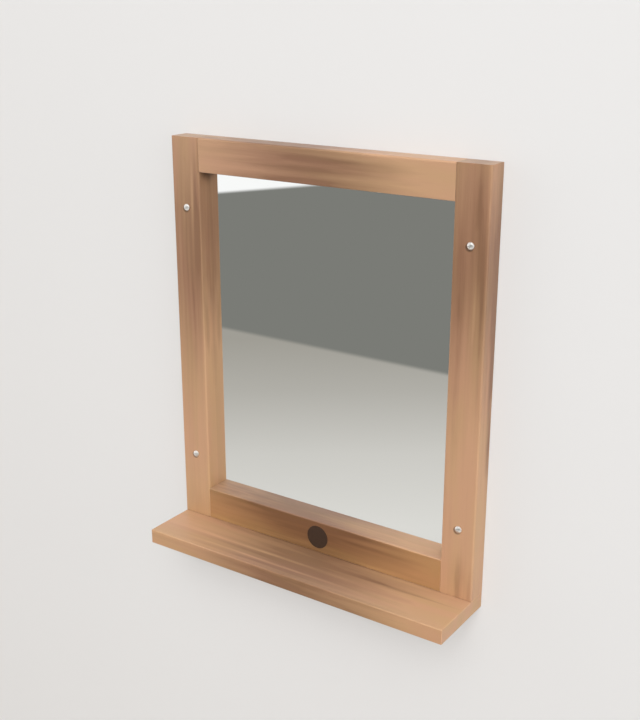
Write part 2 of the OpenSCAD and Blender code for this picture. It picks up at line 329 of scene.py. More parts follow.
def new_material(name, colour, **shader):
    """A material with a Principled shader whose plain values stand on its own sockets. With it come its
    wiring, the shader's inputs and the place on the piece."""
    made = bpy.data.materials.new(name)
    made.use_nodes = True
    made.diffuse_color = (*colour, 1)
    w = Wiring(made.node_tree)
    skin = made.node_tree.nodes["Principled BSDF"].inputs
    w.feed_all(skin, {"Base Color": colour, **shader})
    return made, w, skin, w.add("ShaderNodeTexCoord").outputs["Object"]


def bumped(w, skin, height, strength, distance):
    bump = w.add("ShaderNodeBump", {"Height": height, "Strength": strength, "Distance": distance})
    w.feed(skin["Normal"], bump)


# What sets each board apart: its place in the tree, its dark zone (place, reach and share), its pith, its
# film of dust with a painted sheen on what faces up, the rounding of its two long front edges (left or lower
# one first), its tones with a painted shade on its front, and its streaks.
# A streak is a thin layer of darker or paler wood: its place across and along the board from 0 to 1, its
# thickness and reach in millimetres, and its depth of tone. A few, as marked, are painted light or shade
# instead.
# Those under "front" lean a little as they go in from the front, those under "top" don't lean, and those
# under
# "side" lie flat behind the front.
BOARDS = {
    "left_stile": {
        "grown_at": 11.3, "dark_zone": (0.13, 0.165, 0.8), "pith": (0.07, 0.03, 0), "dust": 0.12,
        "edges": (CRISP_EDGE, FULL_EDGE),
        "streaks": {"front": (
            (0.87, 0.2, 4, 75, 0.36), (0.71, 0.17, 2.5, 60, -0.26), (0.64, 0.45, 4, 80, 0.2),
            (0.45, 0.3, 4, 120, 0.1), (0.22, 0.34, 4.5, 90, -0.1), (1.05, 0.48, 5, 130, -0.32),
            (0.4, 1, 30, 40, 0.12), (1, 0.06, 4, 70, 0.18), (0.05, 0.12, 6, 90, 0.1))}},
    "right_stile": {
        "grown_at": 4.7, "dark_zone": (0.2, 0.165, 0.83), "pith": (-0.09, 0.05, 0), "dust": 0.12,
        "edges": (CRISP_EDGE, FULL_EDGE),
        "streaks": {"front": (
            (0.74, 0.14, 5.5, 70, 0.3), (0.66, 0.42, 2.8, 120, -0.22), (0.85, 0.36, 2.5, 90, 0.2),
            (0.22, 0.4, 4, 150, 0.24), (0.52, 0.97, 7, 45, 0.42), (1, 0.05, 7, 75, -0.34),
            (1, 0.42, 7, 150, 0.16), (0.95, 1, 9, 50, 0.2), (0.2, 0.11, 7, 90, -0.2),
            (0.55, 0.1, 5, 65, 0.12)), "side": (
            # painted shade: the first of these darkens the side towards the wall, where shade falls
            (0.9, 0.43, 7.5, 165, 0.85), (0.6, 0.32, 6, 120, 0.22), (0.95, 0.85, 7, 200, 0.14),
            (0.45, 0.55, 2.5, 140, 0.12))}},
    "top_rail": {
        "grown_at": 7.9, "dark_zone": (-0.026, 0.125, 0.95), "pith": (0.05, 0.06, 0), "dust": 0.07,
        "edges": (CRISP_EDGE, FULL_EDGE), "light": (0.535, 0.309, 0.169),
        "streaks": {"front": (
            (0.28, 0.6, 3.4, 100, 0.2), (0.56, 0.46, 2.6, 110, 0.23), (0.94, 0.42, 5, 120, 0.34),
            (0.72, 0.5, 3.8, 150, -0.12), (0.4, 0.3, 2.5, 90, -0.14), (0.4, 1, 30, 75, -0.2),
            (0.1, 0.04, 12, 90, 0.14), (0.45, 0.64, 4.5, 60, 0.13), (1, 0.38, 3, 110, 0.14),
            (0.05, 0.62, 7, 100, -0.12)), "top": (
            (-0.05, 0.21, 3, 130, 1.8), (-0.05, 0.62, 3, 120, -0.6))}},
    "bottom_rail": {
        "grown_at": 2.2, "dark_zone": (-0.018, 0.14, 1), "pith": (-0.06, 0.07, 0), "dust": 0.08,
        # painted shade: the front is darkened and made warmer, where the shelf below shades it and sends warm
        # light up
        "edges": (MILD_EDGE, MILD_EDGE), "light": (0.555, 0.322, 0.17), "front_shade": (0.735, 0.68, 0.53),
        "streaks": {"front": (
            (0.08, 0.45, 4, 190, 0.3), (0.37, 0.77, 3.5, 65, 0.24), (0.8, 0.6, 6, 170, -0.16),
            (0.5, 1, 20, 50, -0.2), (1, 0.1, 6, 110, -0.34), (1, 0.92, 6, 100, -0.34),
            (0, 0.9, 5, 70, -0.2), (0.3, 0.2, 9, 75, 0.18), (0.75, 0.66, 5, 60, 0.16)), "top": (
            # painted sheen: the first of these pales the top towards its right end
            (-0.05, 0.78, 3, 150, -0.7), (-0.05, 0.05, 3, 60, 0.3))}},
    "shelf_board": {
        "grown_at": 5.1, "dark_zone": (0, 0.14, 0.9), "pith": (0.09, 0.03, 0), "dust": 0.06,
        "edges": (CRISP_EDGE, MILD_EDGE), "light": (0.556, 0.323, 0.171), "dark": (0.243, 0.118, 0.054),
        # painted shade: the front is darkened a little and made warmer
        "front_shade": (0.92, 0.875, 0.835),
        "streaks": {"front": ((0.9, 0.62, 4.5, 110, 0.26),), "side": (
            (0.485, 0.61, 3.2, 110, 0.46), (0.485, 0.86, 2.4, 90, 0.3), (0.68, 0.33, 7, 110, 0.36),
            (0.26, 0.4, 3.2, 150, 0.32), (0.09, 0.42, 3.5, 110, 0.3), (0.57, 0.52, 2.2, 130, -0.14),
            (0.34, 0.34, 3, 170, -0.36), (0.16, 0.4, 2.5, 130, -0.32), (0.4, 0.88, 7, 100, -0.22),
            # painted light: the second of these pales the shelf's right end, as light from the right would
            (0, 0.5, 3.5, 150, 0.26), (0.3, 1, 30, 90, -0.28), (0.67, 0.78, 7, 100, -0.2))}},
}
PLAIN_WOOD = {"light": (0.52, 0.30, 0.161), "dark": (0.235, 0.115, 0.057), "front_shade": (1.0, 1.0, 1.0)}
LAYER_LIES = {"front": (1, 0.3, 0), "top": (1, 0, 0), "side": (0.15, 1, 0)}


def streak_middle(size, lying, layer, across, along):
    """Where the middle of a streak lies, from the middle of its board."""
    y = (across - 0.5) * size.y if layer == "side" else -size.y / 2
    if lying:
        return Vector(((along - 0.5) * size.x, y, (0.5 - across) * size.z))
    return Vector(((across - 0.5) * size.x, y, (0.5 - along) * size.z))


def board_wood(node):
    """Wood of one board. The pattern is centred on the board and turned so that its grain runs along it."""
    low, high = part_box(node)
    board = {**PLAIN_WOOD, **BOARDS[node]}
    lying = not node.endswith("stile")
    made, w, skin, place = new_material(node + "_wood", board["light"], **{
        "Specular IOR Level": 0.3, "Coat Weight": 0.35, "Coat Roughness": 0.3})
    turn = -math.pi / 2 if lying else 0
    into = Matrix.Rotation(turn, 3, "Y")
    placed = w.add("ShaderNodeMapping", {"Vector": place, "Location": into @ (low + high) / -2,
                                         "Rotation": (0, turn, 0)})
    bent = w.group(BEND, {"Vector": placed, "Board": board["grown_at"]})
    slightly_bent = w.vector("MULTIPLY_ADD", w.vector("SUBTRACT", bent, placed), (0.35, 0.35, 0), placed)
    so_far = 0.0
    for layer, streaks in board["streaks"].items():
        for across, along, thickness, reach, depth in streaks:
            middle = into @ streak_middle(high - low, lying, layer, across, along)
            so_far = w.group(STREAK, {
                "Before": so_far, "Vector": slightly_bent, "Middle": middle, "Lie": LAYER_LIES[layer],
                "Thickness": thickness * MM, "Reach": reach * MM, "Depth": depth})
    facing = w.split(w.vector("ABSOLUTE", w.add("ShaderNodeNewGeometry").outputs["True Normal"]))
    zone_place, zone_reach, zone_share = board["dark_zone"]
    # the grain is given the painted shade of the front, the painted sheen on top, and painted shade in
    # corners and under screws
    grain = w.group(GRAIN, {
        "Vector": placed, "Bent": bent, "Board": board["grown_at"], "Pith": board["pith"],
        "Dark Place": zone_place, "Dark Reach": zone_reach, "Dark Share": zone_share, "Streaks": so_far,
        "Dust": board["dust"], "Light Wood": board["light"], "Dark Wood": board["dark"],
        "Front Shade": board["front_shade"], "Grime": w.group(SHADE_AND_SEAMS, {"Vector": place}),
        "End Grain": w.ramp(facing["X" if lying else "Z"], 0.8, 0.95)}).outputs
    w.feed_all(skin, {"Base Color": grain["Color"], "Roughness": grain["Roughness"]})
    bumped(w, skin, grain["Height"], 0.35, 0.12 * MM)
    return made


def small_part(name, colour, rough, mottle_share, scratch_share, mottle_scale=300.0, scratch_scale=900.0,
               bump=(0.2, 0.04 * MM), **shader):
    """A finish with a slight mottle in its colour and fine scratches in its gloss."""
    made, w, skin, place = new_material(name, colour, **shader)
    scales = {"Mottle Scale": mottle_scale, "Scratch Scale": scratch_scale}
    wear = w.group(WEAR, {"Vector": place, **scales}).outputs
    darker = tuple(0.55 * part for part in colour)
    mottled = w.times(w.ramp(wear["Mottle"], 0.35, 0.75), mottle_share)
    w.feed_all(skin, {"Base Color": w.blend(mottled, colour, darker),
                      "Roughness": w.line(wear["Scratches"], scratch_share, rough)})
    bumped(w, skin, wear["Mottle"], *bump)
    return made


# ---- mesh makers ----

def as_piece(name, mesh, slot, *nodes):
    """Puts a finished mesh in the scene as a piece that stands for CAD nodes."""
    piece = linked_object(name, mesh)
    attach(piece, "root")
    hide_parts(*nodes)


def linked_object(name, mesh):
    made = bpy.data.objects.new(name, mesh)
    bpy.context.scene.collection.objects.link(made)
    return made


def rounded_section(low, high, radii, steps):
    """Points of a rectangle with its four corners rounded, counter-clockwise from the low-low corner."""
    corners = ((low[0], low[1], 1, 1, 180), (high[0], low[1], -1, 1, 270),
               (high[0], high[1], -1, -1, 0), (low[0], high[1], 1, -1, 90))
    points = []
    for (u, v, du, dv, start), radius, count in zip(corners, radii, steps):
        cu, cv = u + du * radius, v + dv * radius
        for step in range(count + 1):
            angle = math.radians(start + 90 * step / count)
            points.append((cu + radius * math.cos(angle), cv + radius * math.sin(angle)))
    return points


def solid_of_rings(rings):
    """Closed mesh from rings of equally many points, with a flat cap on either end."""
    shell = bmesh.new()
    rows = [[shell.verts.new(point) for point in ring] for ring in rings]
    for row, after in zip(rows, rows[1:]):
        for i in range(len(row)):
            j = (i + 1) % len(row)
            shell.faces.new((row[i], row[j], after[j], after[i]))
    shell.faces.new(list(reversed(rows[0])))
    shell.faces.new(rows[-1])
    bmesh.ops.recalc_face_normals(shell, faces=shell.faces)
    return shell


def eased_board(low, high, along, radii, ease=EASE, ease_steps=3):
    """A board along X (0) or Z (2) with rounded long edges and eased ends. The radii are those of the
    section's corners, in the order front-low, front-high, back-high, back-low."""
    across = 2 if along == 0 else 0
    longest_step, least_radius = 0.3 * MM, 0.1 * MM
    steps = [max(3, round(radius / longest_step)) for radius in radii]
    levels = []
    for k in range(ease_steps + 1):
        angle = math.radians(90 * k / ease_steps)
        levels.append((ease * (1 - math.sin(angle)), ease * (1 - math.cos(angle))))
    inset_at = [(low[along] + rise, inset) for inset, rise in levels]
    inset_at += [(high[along] - rise, inset) for inset, rise in reversed(levels)]
    rings = []
    for place, inset in inset_at:
        shrunk = [max(radius - inset, least_radius) for radius in radii]
        section = rounded_section((low[across] + inset, low.y + inset),
                                  (high[across] - inset, high.y - inset), shrunk, steps)
        rings.append([(place, y, u) if along == 0 else (u, y, place) for u, y in section])
    return solid_of_rings(rings)


def thin_board(low, high, radius, ease, along=2):
    """A sheet, pad or pane with all its edges eased a little."""
    return eased_board(low, high, along, (radius,) * 4, ease=ease, ease_steps=2)


def add_box(shell, low, high):
    """Adds a closed box to a cutter."""
    low, high = Vector(low), Vector(high)
    turn = Matrix.Translation((low + high) / 2) @ Matrix.Diagonal((*(high - low), 1))
    bmesh.ops.create_cube(shell, size=1, matrix=turn)


def add_bore(shell, start, end, radius, end_radius=None, sides=32):
    """Adds a closed round bore or cone between two points to a cutter."""
    start, end = Vector(start), Vector(end)
    turn = (end - start).to_track_quat("Z", "Y").to_matrix().to_4x4()
    turn.translation = (start + end) / 2
    bmesh.ops.create_cone(shell, cap_ends=True, segments=sides, radius1=radius, radius2=end_radius or radius,
                          depth=(end - start).length, matrix=turn)


def mesh_from(shell, name):
    mesh = bpy.data.meshes.new(name)
    shell.to_mesh(mesh)
    shell.free()
    return mesh


def evaluated_mesh(holder, name):
    """The mesh that an object's modifiers give, as a plain mesh."""
    ready = holder.evaluated_get(bpy.context.evaluated_depsgraph_get())
    mesh = bpy.data.meshes.new_from_object(ready)
    mesh.name = name
    return mesh


def shaded(mesh, name, material, sharp_angle):
    """Smooth shading with sharp edges kept, and normals weighted by face so that flat faces stay flat."""
    mesh.materials.clear()
    mesh.materials.append(material)
    for face in mesh.polygons:
        face.use_smooth = True
    mesh.set_sharp_from_angle(angle=math.radians(sharp_angle))
    holder = linked_object(name + "_shading", mesh)
    holder.modifiers.new("weigh", "WEIGHTED_NORMAL").keep_sharp = True
    finished = evaluated_mesh(holder, name)
    bpy.data.objects.remove(holder)
    return finished


def cut_and_finish(shell, name, cutters, material):
    """Cuts each cutter out of a board, one after the other, and gives it clean shading."""
    board = linked_object(name + "_blank", mesh_from(shell, name + "_blank"))
    tools = []
    for number, cutter in enumerate(cutters):
        tool = linked_object(f"{name}_cutter_{number}", mesh_from(cutter, f"{name}_cutter_{number}"))
        cut = board.modifiers.new(f"cut_{number}", "BOOLEAN")
        cut.operation, cut.solver, cut.object = "DIFFERENCE", "EXACT", tool
        tools.append(tool)
    mesh = evaluated_mesh(board, name)
    for used in (board, *tools):
        bpy.data.objects.remove(used)
    clean = bmesh.new()
    clean.from_mesh(mesh)
    bmesh.ops.remove_doubles(clean, verts=clean.verts, dist=0.002 * MM)
    bmesh.ops.recalc_face_normals(clean, faces=clean.faces)
    clean.to_mesh(mesh)
    clean.free()
    return shaded(mesh, name, material, 32)


# ---- boards ----

def rebate_boxes():
    """The two steps of the rebate behind the sight opening: one for the pane, one for the back panel."""
    steps = []
    for low, high, gap in ((PANE_LOW, PANE_HIGH, PANE_GAP), (PANEL_LOW, PANEL_HIGH, PANEL_GAP)):
        step = bmesh.new()
        add_box(step, (low.x - gap, low.y, low.z - gap), (high.x + gap, OVERRUN, high.z + gap))
        steps.append(step)
    return steps


def rail_dowel_bores(shell):
    reach = DOWEL_REACH + END_ROOM
    for middle in RAIL_MIDS:
        for x in (-SIGHT_HALF, SIGHT_HALF):
            for z in (middle - DOWEL_STEP / 2, middle + DOWEL_STEP / 2):
                add_bore(shell, (x - reach, WOOD_Y, z), (x + reach, WOOD_Y, z), DOWEL_RADIUS + GLUE_LINE)


def upright_bore(shell, x, low, high, radius, **more):
    """A bore from below to above, through the middle of the wood."""
    add_bore(shell, (x, WOOD_Y, low), (x, WOOD_Y, high), radius, **more)


def panel_screw_places():
    return [(sx * x, SIGHT_MID + sz * z) for x, z in (PANEL_SCREW_SIDE, PANEL_SCREW_END)
            for sx in (-1, 1) for sz in (-1, 1)]


def frame_cutters():
    """What all four frame members are cut with: rebate, dowels, wall screws and assembly screws."""
    pane_step, panel_step = rebate_boxes()
    rail_dowel_bores(pane_step)
    for x in (-WALL_SCREW_X, WALL_SCREW_X):
        for z in (-WALL_SCREW_Z, WALL_SCREW_Z):
            add_bore(pane_step, (x, FRONT - OVERRUN, z), (x, OVERRUN, z), WALL_SCREW_HOLE)
    under = FOOT - OVERRUN
    for x in SHELF_SCREW_X:
        for side in (-1, 1):
            upright_bore(pane_step, side * x, under, FOOT + SHELF_SCREW_PILOT, SHELF_SCREW_HOLE, sides=24)
    dowel_top = FOOT + 2 * DOWEL_REACH - SHELF_DOWEL_SUNK + END_ROOM
    for side in (-1, 1):
        upright_bore(pane_step, side * SHELF_DOWEL_X, under, dowel_top, DOWEL_RADIUS + GLUE_LINE)
    pilots = bmesh.new()
    for x, z in panel_screw_places():
        add_bore(pilots, (x, OVERRUN, z), (x, PANEL_HIGH.y - PANEL_SCREW_PILOT, z), PANEL_SCREW_HOLE,
                 sides=20)
    return [pane_step, panel_step, pilots]


def make_frame_boards():
    for node, along in (("left_stile", 2), ("right_stile", 2), ("top_rail", 0), ("bottom_rail", 0)):
        low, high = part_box(node)
        cutters = frame_cutters()
        if node == "bottom_rail":
            add_bore(cutters[0], (0, DISC_HIGH.y, DISC_MID), (0, FRONT - OVERRUN, DISC_MID),
                     DISC_RADIUS + GLUE_LINE, sides=96)
        blank = eased_board(low, high, along, (*BOARDS[node]["edges"], EASE, EASE))
        mesh = cut_and_finish(blank, node + "_board", cutters, board_wood(node))
        as_piece(node + "_board", mesh, "wood", node)


def make_shelf():
    under, above = SHELF_LOW.z, SHELF_HIGH.z + OVERRUN
    bores, sinks = bmesh.new(), bmesh.new()
    for side in (-1, 1):
        upright_bore(bores, side * SHELF_DOWEL_X, SHELF_HIGH.z - SHELF_DOWEL_SUNK - END_ROOM, above,
                     DOWEL_RADIUS + GLUE_LINE)
        for x in SHELF_SCREW_X:
            upright_bore(bores, side * x, under + 1 * MM, above, SHELF_SCREW_HOLE, sides=48)
            upright_bore(sinks, side * x, under - 1 * MM, under + 2 * MM, SINK_RADIUS,
                         end_radius=SHELF_SCREW_HOLE, sides=48)
    radii = (*BOARDS["shelf_board"]["edges"], EASE, EASE)
    blank = eased_board(SHELF_LOW, SHELF_HIGH, 0, radii, ease=SHELF_EASE, ease_steps=4)
    mesh = cut_and_finish(blank, "shelf_plank", [bores, sinks], board_wood("shelf_board"))
    as_piece("shelf_plank", mesh, "wood", "shelf_board")


# ---- screws and dowels: one turned shape, set out on a grid ----

def turned_on_grid():
    """Turns a profile round Z, cuts its thread, flutes and cross recess, and sets copies out on a grid."""
    tree, w, get, put = group_with("turned_on_grid", {
        "Profile": GEOMETRY, "Sides": 24, "Thread Pitch": 0.002, "Thread Height": 0.0, "Thread Start": 0.0,
        "Thread End": 0.0, "Flutes": 0, "Flute Depth": 0.0, "Recess Span": 0.0, "Recess Width": 0.001,
        "Recess Depth": 0.0, "Head Top": 0.0, "Across": 0.0, "Up": 0.0, "Columns": 2, "Rows": 2,
        "Grid Turn": (0, 0, 0), "Point Turn": (0, 0, 0), "Middle": (0, 0, 0), "Seed": 1,
        "Finish": MATERIAL}, {"Geometry": GEOMETRY}, "GeometryNodeTree")
    outline = w.add("GeometryNodeMeshToCurve", {"Mesh": get["Profile"]})
    axle = w.add("GeometryNodeCurvePrimitiveCircle", {"Resolution": get["Sides"], "Radius": 1e-7})
    skin = w.add("GeometryNodeCurveToMesh", {"Curve": axle, "Profile Curve": outline})
    skin = w.add("GeometryNodeMergeByDistance", {"Geometry": skin, "Distance": 2e-6})

    # thread: a ridge that climbs one pitch a turn, faded in and out at its ends
    fade_in, fade_out = 2 * MM, 4 * MM
    still_radius = 0.9 * MM     # nothing moves closer to the axis
    place = w.split(w.add("GeometryNodeInputPosition"))
    turn = w.over(w.math("ARCTAN2", place["Y"], place["X"]), math.tau)
    wave = w.math("FRACT", w.minus(w.over(place["Z"], get["Thread Pitch"]), turn))
    slope = w.times(w.math("ABSOLUTE", w.minus(wave, 0.5)), 3.2)
    ridge = w.math("SUBTRACT", 1.0, slope, clamp=True)
    rise = w.math("DIVIDE", w.minus(place["Z"], get["Thread Start"]), fade_in, clamp=True)
    fall = w.math("DIVIDE", w.minus(get["Thread End"], place["Z"]), fade_out, clamp=True)
    lift = w.times(w.times(ridge, get["Thread Height"]), w.times(rise, fall))
    fluting = w.math("COSINE", w.times(w.times(turn, math.tau), get["Flutes"]))
    fluting = w.math("POWER", w.line(fluting, 0.5, 0.5), 3.0)
    lift = w.minus(lift, w.times(fluting, get["Flute Depth"]))
    off_axis = w.join(X=place["X"], Y=place["Y"])
    radius = w.vector("LENGTH", off_axis)
    outward = w.vector("DIVIDE", off_axis, w.math("MAXIMUM", radius, 1e-6))
    skin = w.add("GeometryNodeSetPosition", {
        "Geometry": skin, "Selection": w.math("GREATER_THAN", radius, still_radius),
        "Offset": w.vector("MULTIPLY", outward, lift)})

    # cross recess: two bars sunk into the top of the head
    bars = w.add("GeometryNodeMeshBoolean", operation="UNION", solver="EXACT")
    depth = w.times(get["Recess Depth"], 2.0)
    for long, short in (("X", "Y"), ("Y", "X")):
        size = w.join(**{long: get["Recess Span"], short: get["Recess Width"], "Z": depth})
        w.feed(bars.inputs["Mesh 2"], w.add("GeometryNodeMeshCube", {"Size": size}))
    cross = w.add("GeometryNodeTransform", {"Geometry": bars, "Translation": w.join(Z=get["Head Top"])})
    sunk = w.add("GeometryNodeMeshBoolean", {"Mesh 1": skin, "Mesh 2": cross}, operation="DIFFERENCE",
                 solver="EXACT")
    has_recess = w.math("GREATER_THAN", get["Recess Depth"], 0.0)
    shape = w.add("GeometryNodeSwitch", {"Switch": has_recess, "False": skin, "True": sunk},
                  input_type="GEOMETRY")

    grid = w.add("GeometryNodeMeshGrid", {"Size X": get["Across"], "Size Y": get["Up"],
                                          "Vertices X": get["Columns"], "Vertices Y": get["Rows"]})
    grid = w.add("GeometryNodeTransform", {"Geometry": grid, "Translation": get["Middle"],
                                           "Rotation": get["Grid Turn"]})
    spin = w.add("FunctionNodeRandomValue", {"Min": (0, 0, 0), "Max": (0, 0, math.tau), "Seed": get["Seed"]},
                 data_type="FLOAT_VECTOR")
    pointing = w.add("FunctionNodeRotateRotation", {
        "Rotation": get["Point Turn"], "Rotate By": spin.outputs["Value"]}, rotation_space="LOCAL")
    placed = w.add("GeometryNodeInstanceOnPoints", {"Points": grid, "Instance": shape, "Rotation": pointing})
    real = w.add("GeometryNodeRealizeInstances", {"Geometry": placed})
    w.feed(put["Geometry"], w.add("GeometryNodeSetMaterial", {"Geometry": real, "Material": get["Finish"]}))
    return tree


def drawn_on(points, *legs):
    """A profile carried on by straight legs, each to a radius and a height in a number of steps."""
    points = list(points)
    for radius, height, count in legs:
        r, h = points[-1]
        points += [(r + (radius - r) * k / count, h + (height - h) * k / count) for k in range(1, count + 1)]
    return points


def profile_mesh(name, points):
    """An open line of points (radius, height) for the turning tree. It starts and ends on the axis."""
    mesh = bpy.data.meshes.new(name)
    mesh.from_pydata([(r, -h, 0) for r, h in points], [(i, i + 1) for i in range(len(points) - 1)], [])
    return mesh


def turned_piece(name, slot, node, points, grids, finish, **values):
    """Runs the turning tree for each grid and makes one piece of what it gives. The tree's inputs are given
    by their names, in small letters and with underscores."""
    joined = bmesh.new()
    for number, grid in enumerate(grids):
        holder = linked_object(f"{name}_{number}", profile_mesh(name + "_profile", points))
        turning = holder.modifiers.new("turned", "NODES")
        turning.node_group = TURNED
        given = {"finish": finish, "seed": number + 3, **values, **grid}
        for item in TURNED.interface.items_tree:
            label = item.name.lower().replace(" ", "_")
            if item.item_type == "SOCKET" and item.in_out == "INPUT" and label in given:
                turning[item.identifier] = given[label]
        holder.update_tag()
        joined.from_mesh(evaluated_mesh(holder, name))
        bpy.data.objects.remove(holder)
    bmesh.ops.recalc_face_normals(joined, faces=joined.faces)
    as_piece(name, shaded(mesh_from(joined, name), name, finish, 35), slot, node)


TURNED = turned_on_grid()
INTO_WALL = (-math.pi / 2, 0, 0)
OUT_OF_WALL = (math.pi / 2, 0, 0)
ALONG_X = (0, math.pi / 2, 0)
POINT_RADIUS = 0.15 * MM    # of every screw's blunt point


def make_wall_screws():
    """Round-head screws: a dome with a cross recess, a plain neck, and a coarse thread in the wall."""
    head_radius, head_height, rim = 5 * MM, 3.2 * MM, 0.3 * MM
    neck, core = 1.8 * MM, 1.7 * MM
    neck_end, core_start, taper_start, length = 31 * MM, 32 * MM, 66 * MM, 70 * MM
    points = [(0, -head_height)]
    for step in range(1, 16):
        angle = math.pi / 2 * step / 16
        points.append((head_radius * math.sin(angle), -head_height * math.cos(angle)))
    points += [(head_radius, -rim), (head_radius - 0.05 * MM, -0.05 * MM), (head_radius - 0.12 * MM, 0),
               (neck, 0)]
    points = drawn_on(points, (neck, neck_end, 6), (core, core_start, 2), (core, taper_start, 150),
                      (POINT_RADIUS, length, 14), (0, length, 1))
    nickel = small_part("bright_nickel", (0.82, 0.80, 0.775), 0.34, 0.12, 0.12, mottle_scale=500.0,
                        scratch_scale=1400.0, bump=(0.25, 0.05 * MM), Metallic=1.0)
    grid = dict(across=2 * WALL_SCREW_X, up=2 * WALL_SCREW_Z, middle=(0, FRONT, 0), grid_turn=OUT_OF_WALL,
                point_turn=INTO_WALL)
    turned_piece("wall_screw_set", "bright_steel", "wall_screws", points, [grid], nickel, sides=32,
                 thread_pitch=2.2 * MM, thread_height=0.8 * MM, thread_start=32.2 * MM, thread_end=69.5 * MM,
                 recess_span=2.9 * MM, recess_width=0.55 * MM, recess_depth=0.55 * MM, head_top=-head_height)


def make_panel_screws(zinc):
    """Small pan-head screws through the back panel."""
    head_height, core, taper_start, length = 1.8 * MM, 1.1 * MM, 7.5 * MM, 10 * MM
    points = [(0, -head_height), (1.4 * MM, -head_height), (2.1 * MM, -1.74 * MM), (2.6 * MM, -1.45 * MM),
              (2.9 * MM, -1.0 * MM), (3 * MM, -0.6 * MM), (3 * MM, -0.1 * MM), (2.9 * MM, 0), (core, 0)]
    points = drawn_on(points, (core, taper_start, 36), (POINT_RADIUS, length, 8), (0, length, 1))
    grids = [dict(across=2 * x, up=2 * z, middle=(0, PANEL_HIGH.y, SIGHT_MID), grid_turn=OUT_OF_WALL,
                  point_turn=OUT_OF_WALL) for x, z in (PANEL_SCREW_SIDE, PANEL_SCREW_END)]
    turned_piece("panel_screw_set", "plain_steel", "back_panel_screws", points, grids, zinc, sides=20,
                 thread_pitch=1.2 * MM, thread_height=0.4 * MM, thread_start=0.6 * MM, thread_end=9.5 * MM,
                 recess_span=3.4 * MM, recess_width=0.7 * MM, recess_depth=1.1 * MM, head_top=-head_height)


def make_shelf_screws(zinc):
    """Countersunk screws up through the shelf into the stiles and the bottom rail."""
    head_radius, face, core, neck_start = 4.2 * MM, 0.02 * MM, 1.65 * MM, 2.2 * MM
    taper_start, length = 41.5 * MM, 46 * MM
    points = [(0, face), (head_radius - 0.15 * MM, face), (head_radius, 0.12 * MM), (core, neck_start)]
    points = drawn_on(points, (core, taper_start, 120), (POINT_RADIUS, length, 10), (0, length, 1))
    grids = [dict(across=2 * x, rows=1, middle=(0, WOOD_Y, SHELF_LOW.z)) for x in SHELF_SCREW_X]
    turned_piece("shelf_screw_set", "plain_steel", "shelf_screws", points, grids, zinc, sides=24,
                 thread_pitch=1.9 * MM, thread_height=0.6 * MM, thread_start=14 * MM, thread_end=45.5 * MM,
                 recess_span=4.4 * MM, recess_width=0.9 * MM, recess_depth=1.7 * MM, head_top=0.0)


def make_dowels():
    """Fluted dowels: two in either end of each rail, and two between the bottom rail and the shelf."""
    radius, length, chamfer = DOWEL_RADIUS, 2 * DOWEL_REACH, 1 * MM
    points = drawn_on([(0, 0), (radius - chamfer, 0), (radius, chamfer)], (radius, length - chamfer, 4),
                      (radius - chamfer, length, 1), (0, length, 1))
    beech = small_part("dowel_beech", (0.58, 0.40, 0.24), 0.55, 0.35, 0.1, mottle_scale=700.0,
                       scratch_scale=500.0)
    grids = [dict(across=2 * SIGHT_HALF, up=DOWEL_STEP, grid_turn=OUT_OF_WALL, point_turn=ALONG_X,
                  middle=(-DOWEL_REACH, WOOD_Y, middle)) for middle in RAIL_MIDS]
    grids.append(dict(across=2 * SHELF_DOWEL_X, rows=1, middle=(0, WOOD_Y, FOOT - SHELF_DOWEL_SUNK)))
    for name, grid in zip(("top_rail", "bottom_rail", "shelf"), grids):
        turned_piece(name + "_dowel_set", "dowel_wood", name + "_dowels", points, [grid], beech, sides=72,
                     flutes=18, flute_depth=0.25 * MM)


# ---- pane, packing, back panel, disc ----

def silvered_glass():
    """Silvered glass: near-perfect reflection with a breath of haze and hardly visible wipe marks."""
    made, w, skin, place = new_material("silvered_glass", (0.93, 0.94, 0.93), Metallic=1.0)
    mottle = w.group(WEAR, {"Vector": place, "Mottle Scale": 9.0, "Scratch Scale": 60.0}).outputs["Mottle"]
    hazed = w.ramp(mottle, 0.3, 0.8, 0.0, 0.25)
    w.feed_all(skin, {"Base Color": w.blend(hazed, (0.94, 0.95, 0.94), (0.92, 0.935, 0.925)),
                      "Roughness": w.line(mottle, 0.012, 0.004)})
    # to light going from wood to wood the pane is plain and pale, so that the frame's inner sides stay lit
    plain_to_bounced_light(w, (0.6, 0.6, 0.59))
    return made


def surface_of_two(w, share, first, second):
    """Gives a material its first shader, and its second one where the share is 1."""
    mixed = w.add("ShaderNodeMixShader", {0: share, 1: first, 2: second})
    w.feed(w.tree.nodes["Material Output"].inputs["Surface"], mixed)


def plain_to_bounced_light(w, colour):
    """Gives a material a plain colour for light that comes off something else."""
    bounced = w.add("ShaderNodeLightPath").outputs["Is Diffuse Ray"]
    plain = w.add("ShaderNodeBsdfDiffuse", {"Color": colour})
    surface_of_two(w, bounced, w.tree.nodes["Principled BSDF"], plain)


def make_pane():
    """Silvered float glass with ground arrises. Front, edge and painted back each have their own finish."""
    mesh = mesh_from(thin_board(PANE_LOW, PANE_HIGH, 0.4 * MM, 0.4 * MM), "mirror_glass")
    edge = small_part("ground_glass_edge", (0.32, 0.47, 0.42), 0.35, 0.3, 0.2, mottle_scale=500.0, IOR=1.52)
    backing = small_part("mirror_backing_paint", (0.20, 0.22, 0.23), 0.6, 0.35, 0.1, mottle_scale=120.0)
    for finish in (silvered_glass(), edge, backing):
        mesh.materials.append(finish)
    for face in mesh.polygons:
        face.material_index = 0 if face.normal.y < -0.99 else 2 if face.normal.y > 0.99 else 1
    as_piece("mirror_glass", mesh, "mirror", "mirror_pane")


